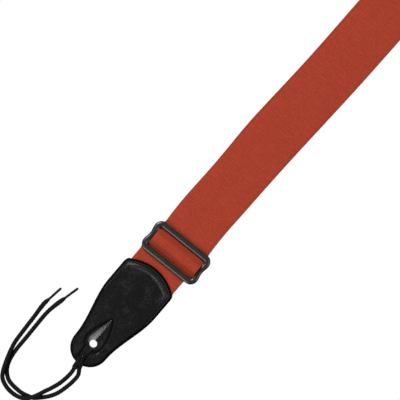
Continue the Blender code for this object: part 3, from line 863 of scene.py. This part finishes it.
class Tab:
    """A tab's surfaces: the heights of its layers over its plan."""

    def __init__(self, layers, lace, seed):
        self.layers, self.lace, self.seed = layers, lace, seed
        self.outline = tab_outline()
        self.seam = tab_outline(SEAM_INSET, SEAM_START)
        self.slit = slit_outline()
        self.leaf = leaf()

    def lift(self, u):
        """The lace tab's tip curls up over the lace."""
        return LACE_LIFT * smooth((-3 * MM - u) / (10 * MM)) if self.lace else 0.0

    def measures(self, plan):
        """What the heights depend on, for every plan place at once."""
        found = {"rim": distances(plan, self.outline, True), "seam": distances(plan, self.seam),
                 "slit": distances(plan, self.slit, True),
                 "leaf": np.minimum(distances(plan, self.leaf[0]), distances(plan, self.leaf[1])),
                 "tie": distances(plan, tie_outline(), True)}
        shine = through([(-9.5, -6.0), (-7.5, -8.6), (-4, -9.9), (0.5, -10.2)], 5)
        found["shine"] = distances(plan, [p * MM for p in shine])
        pulls = [[(-21, 4.6), (-13, 4.0), (-5, 4.6)], [(-21, -3.4), (-13, -3.4), (-5, -3.8)]]
        found["pull"] = np.minimum(*(distances(plan, [p * MM for p in through([(*k, 0) for k in line], 4)])
                                     for line in pulls))
        return found

    def measured(self, plan):
        """The same, one set of measures for each place."""
        found = self.measures(plan)
        return [{k: float(d[n]) for k, d in found.items()} for n in range(len(plan))]

    def front(self, u, v, m):
        """Underside and top of the front layer at one place."""
        side = mix(smooth(m["rim"] / (3.4 * MM)), 1 - smooth((abs(v) - 24.8 * MM) / (3.4 * MM)),
                   smooth((u - 34 * MM) / (8 * MM)))
        under = LOW + self.lift(u) + self.layers * LAYER * smooth((u - 4 * MM) / (40 * MM)) * side
        under -= 0.25 * MM * (1 - smooth(m["rim"] / (3 * MM)))
        thick = mix(1.2 * MM, LEATHER_THICK, smooth(m["rim"] / (3.6 * MM)))
        top = under + thick - quarter(m["rim"], 0.9 * MM)
        wave = noise.noise(Vector((u * 55, v * 70, self.seed)))
        wave += 0.5 * noise.noise(Vector((u * 140, v * 150, self.seed)))
        top += 0.34 * MM * wave * smooth(m["rim"] / (5 * MM))
        top += 0.45 * MM * smooth(1 - abs(v) / (26 * MM)) * smooth((u - 25 * MM) / (30 * MM))
        top -= 0.4 * MM * bell(m["seam"], 0.8 * MM)
        top += 0.85 * MM * self.welt(u, m)
        if self.lace:
            top -= 0.38 * MM * bell(m["leaf"], 0.85 * MM)
            fold = bell(m["leaf"] - 2.2 * MM, 1.6 * MM)
            top += 0.22 * MM * fold * smooth((m["slit"] - 2 * MM) / (3 * MM))
            top += 0.42 * MM * bell(m["shine"], 0.6 * MM)
            top -= 0.32 * MM * bell(m["pull"], 0.9 * MM)
            top -= quarter(m["tie"], 0.8 * MM)
        top -= quarter(m["slit"], 0.8 * MM)
        return under, top

    def welt(self, u, m):
        """The raised roll inside the crown's seam, from 0 to 1."""
        roll = bell(m["seam"] - 3.4 * MM, 1.9 * MM)
        return roll * smooth((m["rim"] - SEAM_INSET) / (1 * MM)) * smooth((u - 66 * MM) / (12 * MM))

    def back(self, u, v, m):
        """Underside and top of the back layer at one place."""
        under = self.lift(u) + quarter(m["rim"], 0.7 * MM)
        under += 0.55 * MM * bell(m["seam"], 0.7 * MM)
        return under, self.lift(u) + LEATHER_THICK - 0.1 * MM * (1 - smooth(m["rim"] / (2 * MM)))


def quarter(distance, radius):
    """How far a rounded edge has dropped at a distance from the edge."""
    if distance >= radius:
        return 0.0
    return radius - math.sqrt(max(0.0, radius ** 2 - (radius - max(distance, 0.0)) ** 2))


def layer(tab, heights, cutters):
    """One leather layer: the tab's sheet given its two surfaces, then its holes."""
    bm = tab_sheet()
    lower = list(bm.verts)
    upper = {tuple(round(k, 7) for k in v.co.xy): v for v in copied_points(bm, bm.faces[:])}
    for v, m in zip(lower, tab.measured([tuple(v.co.xy) for v in lower])):
        under, top = heights(v.co.x, v.co.y, m)
        upper[tuple(round(k, 7) for k in v.co.xy)].co.z = top
        v.co.z = under
    bmesh.ops.recalc_face_normals(bm, faces=bm.faces)
    bm = cut(bm, *cutters)
    for v, m in zip(bm.verts, tab.measured([tuple(v.co.xy) for v in bm.verts])):
        under, top = heights(v.co.x, v.co.y, m)      # the holes' edges follow the surfaces too
        v.co.z = top if v.co.z > (under + top) / 2 else under
    return bm


def press(bm, tab):
    """Marks how far each point is pressed flat and dull: the rim, the seam's groove and the creases. The
    leather's painted glints are left off there, and the welt's negative mark makes it glossier and its
    painted glints stronger.
    """
    marks = bm.verts.layers.float.new("pressed")
    for v, m in zip(bm.verts, tab.measured([tuple(v.co.xy) for v in bm.verts])):
        creases = [bell(m["seam"], 1.1 * MM)]
        if tab.lace:
            creases += [bell(m[k], 1 * MM) for k in ("leaf", "pull")]
        # the welt's mark is negative: more gloss there and stronger painted glints
        v[marks] = max(1 - smooth((m["rim"] - 1.3 * MM) / (2.6 * MM)), *creases) - 0.8 * tab.welt(v.co.x, m)
    return bm


def stitches(line, heights, thick, long, slant, closed=False):
    """Separate stitches along a line on the plan, each a little aslant and sunk at both ends."""
    points, _ = evenly([(*p, 0) for p in line], STITCH_PITCH, closed)
    levels = heights([tuple(p.xy) for p in points])
    made = []
    for spot, along, height in zip(points, tangents(points, closed), levels):
        bm = bmesh.new()
        bmesh.ops.create_uvsphere(bm, u_segments=8, v_segments=5, radius=0.5)
        turn = math.atan2(along.y, along.x) + slant
        shape = Matrix.Translation((spot.x, spot.y, height)) @ Matrix.Rotation(turn, 4, "Z")
        shape = shape @ Matrix.Diagonal((long, thick * 1.25, thick, 1))
        bmesh.ops.transform(bm, matrix=shape, verts=bm.verts)
        made.append(bm)
    return joined(*made)


def make_tab(label, place, turn, layers, lace, body, leather, suede, thread):
    """A tab of two leather layers sewn over webbing."""
    tab = Tab(layers, lace, 3.0 if lace else 11.0)
    low, high = -5 * MM, 15 * MM
    round_hole = arc((0, 0), PIN_RADIUS, 0, 345, 23)
    back_slit = [(0, 0.2 * MM), (28 * MM, 1 * MM), (28 * MM, 1.1 * MM), (0, 0.36 * MM)]
    tie = tie_outline()
    front_cuts = [prism(slit_outline(), low, high)] + ([prism(tie, low, high)] if lace else [])
    back_cuts = [prism(round_hole, low, high), prism(back_slit, low, high)]
    back_cuts += [prism(tie, low, high)] if lace else []
    front = press(layer(tab, tab.front, front_cuts), tab)
    back = layer(tab, tab.back, back_cuts)
    back.faces.ensure_lookup_table()
    middles = [tuple(face.calc_center_median().xy) for face in back.faces]
    for face, rim in zip(back.faces, distances(middles, tab.outline, True)):
        face.material_index = 1 if face.normal.z > 0.8 and rim > 1.2 * MM else 0
    for side, bm, looks in (("_front", front, [leather]), ("_back", back, [leather, suede])):
        piece(label + side + "_leather", turned(bm, place, turn), looks, body, [label + side],
              "black_leather")

    def sewn(plan):
        """Heights of the front's surface in the seam's groove."""
        return [tab.front(u, v, m)[1] + 0.16 * MM for (u, v), m in zip(plan, tab.measured(plan))]

    top = stitches(tab.seam, sewn, 0.62 * MM, 1.7 * MM, 0.16)
    below = stitches(tab.seam, lambda plan: [0.36 * MM] * len(plan), 0.55 * MM, 1.7 * MM, -0.16)
    piece(label + "_stitching", turned(joined(top, below), place, turn), [thread], body, [label + "_seam"],
          "black_thread", sharp=180)


# ---------------- slider and ring

def bar_line():
    """The slider frame's centre line: straight long bars, round corners, short sides dipping in."""
    half_x = SLIDER_LENGTH / 2 - SLIDER_BAR / 2
    half_y = SLIDER_INNER + SLIDER_BAR / 2 - 0.35 * MM
    corner = 4.4 * MM
    reach = half_x - corner
    right = arc((reach, half_y - corner), corner, 0, 90, 10)
    top = [(x, half_y - SLIDER_WAIST * (0.5 + 0.5 * math.cos(math.pi * x / reach)))
           for x in [mix(reach, -reach, i / 16) for i in range(1, 16)]]
    upper = right + top + [(-x, y) for x, y in reversed(right)]
    return upper + [(-x, -y) for x, y in upper]


def make_slider(plastic):
    """The three-bar slider: a frame of oval bars, and the centre bar between its short sides."""
    line, _ = evenly([(x, y, SLIDER_MID) for x, y in bar_line()], 0.9 * MM, closed=True)

    def half(row):
        short = smooth((abs(line[row].y) - SLIDER_INNER + 1 * MM) / (3 * MM))
        return mix(SLIDER_BAR, SLIDER_SHORT_BAR, short) / 2

    frame_bar = tube(line, flat_section(half, SLIDER_THICK / 2), 32, closed=True)
    reach = (CENTRE_BAR[0] - CENTRE_BAR[1]) / 2
    section = arc((reach, SLIDER_MID), CENTRE_BAR[1] / 2, -90, 90, 10)
    section += arc((-reach, SLIDER_MID), CENTRE_BAR[1] / 2, 90, 270, 10)
    end = SLIDER_INNER + SLIDER_BAR / 2
    bar = extruded([(x, -end, z) for x, z in section], (0, 2 * end, 0))
    whole = turned(cut(frame_bar, bar, operation="UNION"), (SLIDER_X, SLIDER_SIDE), SLIDER_TURN)
    piece("three_bar_slider", whole, [plastic], "slider", ["slider"], "black_gloss_plastic")


def make_ring(plastic):
    """The end ring: a round bar bent to a rectangle with rounded corners."""
    corner = 3.5 * MM
    half_y = SLIDER_INNER + RING_BAR / 2
    path = []
    right, left = RING_X2 - corner, RING_X1 + corner
    corners = ((right, 1), (left, 1), (left, -1), (right, -1))
    for quarter_turn, (x, side) in enumerate(corners):
        path += arc((x, side * (half_y - corner)), corner, 90 * quarter_turn, 90 * quarter_turn + 90, 8)
    bm = tube([(x, y, RING_Z) for x, y in path], round_section(RING_BAR / 2), 28, closed=True)
    piece("rectangular_end_ring", bm, [plastic], "ring", ["end_ring"], "black_gloss_plastic", sharp=180)


def make_flap_seam(thread):
    """A box of stitches that closes the webbing's end behind the slider."""
    near = SLIDER_X + SLIDER_LENGTH / 2 + 4.5 * MM
    far = FLAP_END - 3 * MM
    corners = []
    for x, side in ((near, -1), (far, -1), (far, 1), (near, 1)):
        middle, _ = lay(x)
        corners.append((x, middle + side * (WEB_WIDTH / 2 - 4 * MM)))
    level = TOP_RUN + WEB_THICK / 2 + 0.12 * MM
    bm = stitches(corners, lambda plan: [level] * len(plan), 0.6 * MM, 1.8 * MM, 0.1, closed=True)
    piece("flap_stitching", bm, [thread], "slider", ["flap_seam"], "black_thread", sharp=180)


# ---------------- tie lace

LACE_ROW = 0.34 * MM
BRAID_STRANDS = 6
BRAID_PITCH = 3.2 * MM


def braid(spacing, depth=0.2 * MM):
    """Relief of a round braid: two families of strands wound opposite ways, passing over each other."""
    def relief(row, angle):
        along = math.tau * row * spacing / BRAID_PITCH
        one = math.cos(BRAID_STRANDS * angle + along)
        other = math.cos(BRAID_STRANDS * angle - along)
        return depth * (max(one, other) - 0.45)
    return relief


def lace_end(label, route, black, shine):
    """One free end of the lace: a braided cord that narrows into its aglet."""
    start = Vector((LACE_PIN.x, 0, 0))
    first, second, *rest = route
    inside = first + (first - second).normalized() * COLLAR_START
    spots = [start + p + LACE_SHIFT * smooth((p - first).length / (30 * MM)) for p in (inside, second, *rest)]
    line, stations = evenly(through(spots, 8), LACE_ROW)
    total = stations[-1]
    relief = braid(LACE_ROW)

    def radius(row):
        left = total - stations[row]
        plump = 1 + 0.10 * bell(left - 9 * MM, 5 * MM)
        return mix(AGLET / 2 + 0.1 * MM, 0.47 * LACE * plump, smooth(left / (5 * MM)) ** 0.7)

    def fading(row, angle):
        return relief(row, angle) * smooth((total - stations[row]) / (3 * MM))

    for row, spot in enumerate(line):
        spot.z = max(spot.z, radius(row) + 0.15 * MM)
    cord = piece("lace_" + label, tube(line, round_section(radius, fading), 36), [black], "lace_end",
                 ["tie_lace_" + label], "black_braided_lace", sharp=180)
    ahead = (line[-1] - line[-2]).normalized()
    tip = line[-1] + ahead * GAP
    tip.z = AGLET / 2 + 0.1 * MM
    ahead.z = 0
    ahead.normalize()
    shape = [(mix(a[0], b[0], k / 3), mix(a[1], b[1], k / 3))
             for a, b in zip(AGLET_SHAPE, AGLET_SHAPE[1:]) for k in range(3)] + AGLET_SHAPE[-1:]
    section = round_section(lambda row: 0.54 * AGLET * shape[row][1])
    aglet = tube([tip + ahead * s * MM for s, _ in shape], section, 20)
    sheath = piece("aglet_tip_" + label, aglet, [shine], "lace_end", ["aglet_" + label], "black_aglet")


def make_hitch(black):
    """The lace's doubled middle: two flattened legs through the tie hole and round the tip, and a bight."""
    half = LACE_FLAT / 2
    below = GAP + half
    above = LACE_LIFT + 2 * (LEATHER_THICK + GAP) + half
    tip = TIP_CENTRE - TIP_RADIUS - TIE_U - 2 * GAP - half
    route = [(0, mix(below, above, 0.5)), (-0.1 * MM, above - 1.6 * MM), (-1.6 * MM, above),
             (0.6 * tip, above), (tip + 0.6 * MM, above - 0.4 * MM), (tip, above - 1.8 * MM),
             (tip, below + 1.8 * MM), (tip + 0.6 * MM, below + 0.3 * MM), (0.6 * tip, below),
             (-1.6 * MM, below), (-0.1 * MM, below + 1.6 * MM)]
    relief = braid(LACE_ROW, 0.12 * MM)
    legs = []
    for side in (-1, 1):
        spots = [Vector((x, side * mix(1.4 * MM, 2.1 * MM, smooth(x / tip)), z)) for x, z in route]
        loop = through([spots[-1], *spots, spots[0], spots[1]], 10)[10:-20]
        line, _ = evenly(loop, LACE_ROW, closed=True)
        wide = [mix(1.35 * MM, 2.1 * MM, smooth(p.x / tip)) for p in line]
        section = flat_section(lambda row, wide=wide: wide[row], half, relief, fullness=0.8)
        legs.append(tube(line, section, 28, closed=True, side_of=lambda ahead: Vector((0, 1, 0))))
    hole = Vector((TIE_U, 0))
    hole.rotate(Matrix.Rotation(TAB_TURN, 2))
    legs = turned(joined(*legs), LACE_PIN + hole, TAB_TURN + HITCH_TURN)

    # the bight: a collar of the same lace round both free ends, close to the tip
    starts = Vector((LACE_PIN.x, 0, 0)) + (LACE_A[0] + LACE_B[0]) / 2
    forward = (LACE_A[1] + LACE_B[1] - LACE_A[0] - LACE_B[0]).normalized()
    forward.z = 0
    forward.normalize()
    across = Vector((-forward.y, forward.x, 0))
    middle = Vector((starts.x, starts.y, 2.9 * MM)) - forward * 1.3 * MM
    oval = flat_section(*COLLAR, fullness=0.7)
    around = [oval(0, math.tau * k / 64) for k in range(64)]
    ring = [middle + across * wide + Vector((0, 0, tall)) for wide, tall in around]
    line, _ = evenly(ring, LACE_ROW, closed=True)
    section = flat_section(1.9 * MM, 0.8 * MM, relief)
    bight = tube(line, section, 24, closed=True, side_of=lambda ahead: forward)
    piece("lace_hitch", joined(legs, bight), [black], "lace_end", ["tie_lace_hitch"],
          "black_braided_lace", sharp=180)


# ---------------- light and camera

VIEW_X, VIEW_Y = LACE_PIN.x + 164.9 * MM, 12.9 * MM      # the middle of the view
VIEW_WIDTH = 370.8 * MM
VIEW_TURN = math.radians(-47.9)
AMBIENT = 0.15                                           # the backdrop's strength as a light


def softbox(name, azimuth, elevation, distance, size, power):
    """A square light aimed at the middle of the view; azimuth is measured in it, 0 to its right."""
    a, e = math.radians(azimuth) + VIEW_TURN, math.radians(elevation)
    light = bpy.data.lights.new(name, "AREA")
    light.size = size
    light.energy = power
    lamp = placed(name, light)
    aim = Vector((VIEW_X, VIEW_Y, 0))
    towards = Vector((math.cos(a) * math.cos(e), math.sin(a) * math.cos(e), math.sin(e)))
    lamp.location = aim + towards * distance
    lamp.rotation_euler = towards.to_track_quat("Z", "Y").to_euler()


def make_light():
    scene = bpy.context.scene
    scene.view_settings.view_transform = "Standard"
    scene.view_settings.look = "None"
    world = bpy.data.worlds.new("studio")
    world.use_nodes = True
    w = Wiring(world.node_tree)
    backdrop = world.node_tree.nodes["Background"]
    seen = w.node("LightPath").outputs["Is Camera Ray"]
    strength = w.maths("MULTIPLY_ADD", seen, 1 - AMBIENT, AMBIENT)      # white where the camera sees it
    w.paint(backdrop, Color=(1, 1, 1, 1), Strength=strength)
    scene.world = world
    softbox("key", 118, 40, 1.6, 0.7, 34)
    softbox("side", 222, 34, 1.6, 0.9, 14)
    softbox("fill", -20, 38, 2.2, 1.4, 18)


def make_camera():
    lens = bpy.data.cameras.new("camera")
    lens.lens = 120
    lens.sensor_width = 36
    lens.clip_start, lens.clip_end = 0.05, 50
    camera = placed("camera", lens)
    camera.location = (VIEW_X, VIEW_Y, VIEW_WIDTH * lens.lens / lens.sensor_width)
    camera.rotation_euler = (0, 0, VIEW_TURN)
    bpy.context.scene.camera = camera


# ---------------- the whole strap

make_camera()
WEAVE, HIDE = weave_group(), hide_group()
RED = webbing_finish(WEAVE)
LEATHER = leather_finish(HIDE)
SUEDE = suede_finish(HIDE)
PLASTIC = plastic_finish()
BRAIDED = yarn_finish("black braided lace", (0.0026, 0.0026, 0.0029), 0.8, 1800.0)
THREAD = yarn_finish("black sewing thread", (0.035, 0.035, 0.036), 0.5, 2600.0)
AGLET_SHINE = yarn_finish("black aglet sheath", (0.003, 0.003, 0.0033), 0.55, 700.0)

lace_end("a", LACE_A, BRAIDED, AGLET_SHINE)
lace_end("b", LACE_B, BRAIDED, AGLET_SHINE)
make_hitch(BRAIDED)
make_webbing(RED)
make_tab("lace_tab", LACE_PIN, TAB_TURN, 1, True, "lace_end", LEATHER, SUEDE, THREAD)
make_tab("ring_tab", RING_PIN, math.pi, 2, False, "ring_tab", LEATHER, SUEDE, THREAD)
make_slider(PLASTIC)
make_ring(PLASTIC)
make_flap_seam(THREAD)
make_light()
